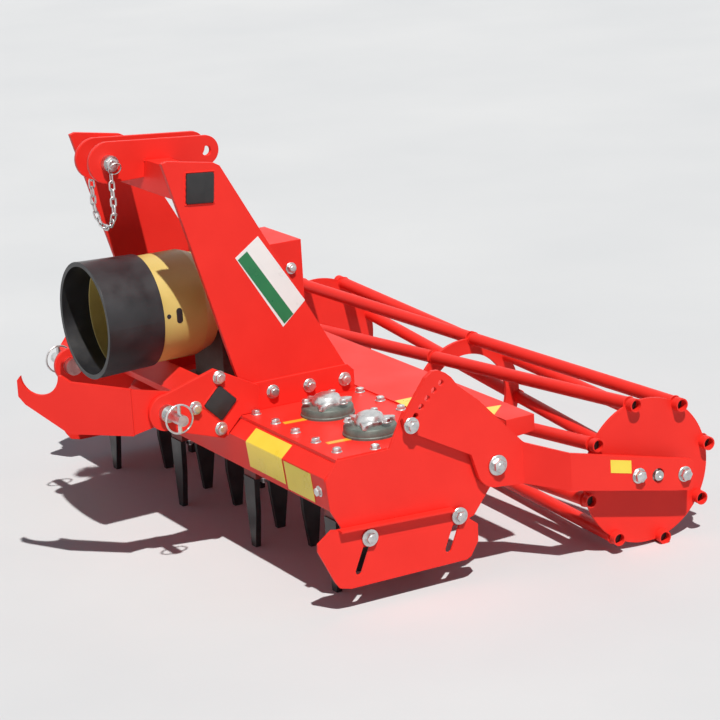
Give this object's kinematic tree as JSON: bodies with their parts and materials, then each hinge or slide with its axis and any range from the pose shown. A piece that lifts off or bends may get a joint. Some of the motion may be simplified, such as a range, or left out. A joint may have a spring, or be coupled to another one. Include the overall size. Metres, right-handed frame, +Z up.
{
  "type": "power harrow",
  "caption": "Tractor-mounted power harrow: geared vertical rotors with knife tines under a long trough, three-point headstock and a rear cage roller on depth arms.",
  "frame": {"origin": "on the floor under the middle of the overall box", "axes": "+X across the working width, tractor at -Y, roller at +Y, +Z up"},
  "size_m": [1.392, 1.2017, 0.8352],
  "materials": {
    "red_paint": "gloss",
    "zinc": "satin",
    "cast_grey": "matte",
    "dark_casting": "matte",
    "black_tine": "satin",
    "black_plastic": "matte",
    "black_rubber": "matte",
    "yellow_plastic": "satin",
    "bright_steel": "satin"
  },
  "bodies": {
    "frame": {"gear_trough": "red_paint", "trough_cover": "red_paint", "end_plate_left": "red_paint", "end_plate_right": "red_paint", "foot_rails": "red_paint", "leg_left": "red_paint", "leg_right": "red_paint", "tie_tube": "red_paint", "top_lugs": "red_paint", "lug_gusset": "red_paint", "hitch_beam": "red_paint", "hitch_plate_left": "red_paint", "hitch_plate_right": "red_paint", "shaft_rest": "red_paint", "gearbox_hood": "red_paint", "rear_guard": "red_paint", "cap_flanges": "zinc", "shield_bolts": "zinc", "pivot_bolts": "zinc", "hitch_pins": "zinc", "linch_pins": "zinc", "top_pin": "zinc", "keeper_chain": "zinc", "rotor_caps": "cast_grey", "gearbox": "cast_grey", "rotor_housings": "dark_casting", "tube_caps": "black_plastic", "guard_sleeve": "black_rubber", "guard_collar": "yellow_plastic"},
    "input": {"input_shaft": "bright_steel"},
    "shield_left": {"side_shield_left": "red_paint"},
    "shield_right": {"side_shield_right": "red_paint"},
    "roller_arms": {"arm_left": "red_paint", "arm_right": "red_paint", "arm_bearings": "cast_grey", "depth_bolts": "zinc"},
    "roller": {"roller_tubes": "red_paint", "roller_tube_ends": "red_paint", "roller_discs": "red_paint", "roller_ring": "red_paint", "roller_axle": "bright_steel"},
    "rotor_body_1": {"rotor_1": "dark_casting", "tines_1": "black_tine"},
    "rotor_body_2": {"rotor_2": "dark_casting", "tines_2": "black_tine"},
    "rotor_body_3": {"rotor_3": "dark_casting", "tines_3": "black_tine"},
    "rotor_body_4": {"rotor_4": "dark_casting", "tines_4": "black_tine"},
    "rotor_body_5": {"rotor_5": "dark_casting", "tines_5": "black_tine"},
    "rotor_body_6": {"rotor_6": "dark_casting", "tines_6": "black_tine"},
    "rotor_body_7": {"rotor_7": "dark_casting", "tines_7": "black_tine"}
  },
  "joints": [
    {"name": "roller_lift", "type": "hinge", "parent": "frame", "child": "roller_arms", "pos_m": [0, 0.12823, 0.222], "axis": [1, 0, 0], "range_deg": [0, 26]},
    {"name": "roller_spin", "type": "hinge", "parent": "roller_arms", "child": "roller", "pos_m": [0, 0.44723, 0.15306], "axis": [1, 0, 0], "continuous": true},
    {"name": "shield_left_slide", "type": "slide", "parent": "frame", "child": "shield_left", "axis": [0, 0.3987, 0.9171], "range_m": [0, 0.062]},
    {"name": "shield_right_slide", "type": "slide", "parent": "frame", "child": "shield_right", "axis": [0, 0.3987, 0.9171], "range_m": [0, 0.062]},
    {"name": "rotor_4_spin", "type": "hinge", "parent": "frame", "child": "rotor_body_4", "pos_m": [0, -0.07177, 0.17], "axis": [0, 0, 1], "continuous": true},
    {"name": "rotor_1_spin", "type": "hinge", "parent": "frame", "child": "rotor_body_1", "pos_m": [-0.495, -0.07177, 0.17], "axis": [0, 0, 1], "continuous": true},
    {"name": "rotor_2_spin", "type": "hinge", "parent": "frame", "child": "rotor_body_2", "pos_m": [-0.33, -0.07177, 0.17], "axis": [0, 0, 1], "continuous": true},
    {"name": "rotor_3_spin", "type": "hinge", "parent": "frame", "child": "rotor_body_3", "pos_m": [-0.165, -0.07177, 0.17], "axis": [0, 0, 1], "continuous": true},
    {"name": "rotor_5_spin", "type": "hinge", "parent": "frame", "child": "rotor_body_5", "pos_m": [0.165, -0.07177, 0.17], "axis": [0, 0, 1], "continuous": true},
    {"name": "rotor_6_spin", "type": "hinge", "parent": "frame", "child": "rotor_body_6", "pos_m": [0.33, -0.07177, 0.17], "axis": [0, 0, 1], "continuous": true},
    {"name": "rotor_7_spin", "type": "hinge", "parent": "frame", "child": "rotor_body_7", "pos_m": [0.495, -0.07177, 0.17], "axis": [0, 0, 1], "continuous": true},
    {"name": "input_spin", "type": "hinge", "parent": "frame", "child": "input", "pos_m": [0, -0.22177, 0.481], "axis": [0, 1, 0], "continuous": true}
  ],
  "couplings": [
    {"joint": "rotor_1_spin", "follows": "rotor_4_spin", "ratio": -1},
    {"joint": "rotor_2_spin", "follows": "rotor_4_spin", "ratio": 1},
    {"joint": "rotor_3_spin", "follows": "rotor_4_spin", "ratio": -1},
    {"joint": "rotor_5_spin", "follows": "rotor_4_spin", "ratio": -1},
    {"joint": "rotor_6_spin", "follows": "rotor_4_spin", "ratio": 1},
    {"joint": "rotor_7_spin", "follows": "rotor_4_spin", "ratio": -1},
    {"joint": "input_spin", "follows": "rotor_4_spin", "ratio": 1.8}
  ]
}
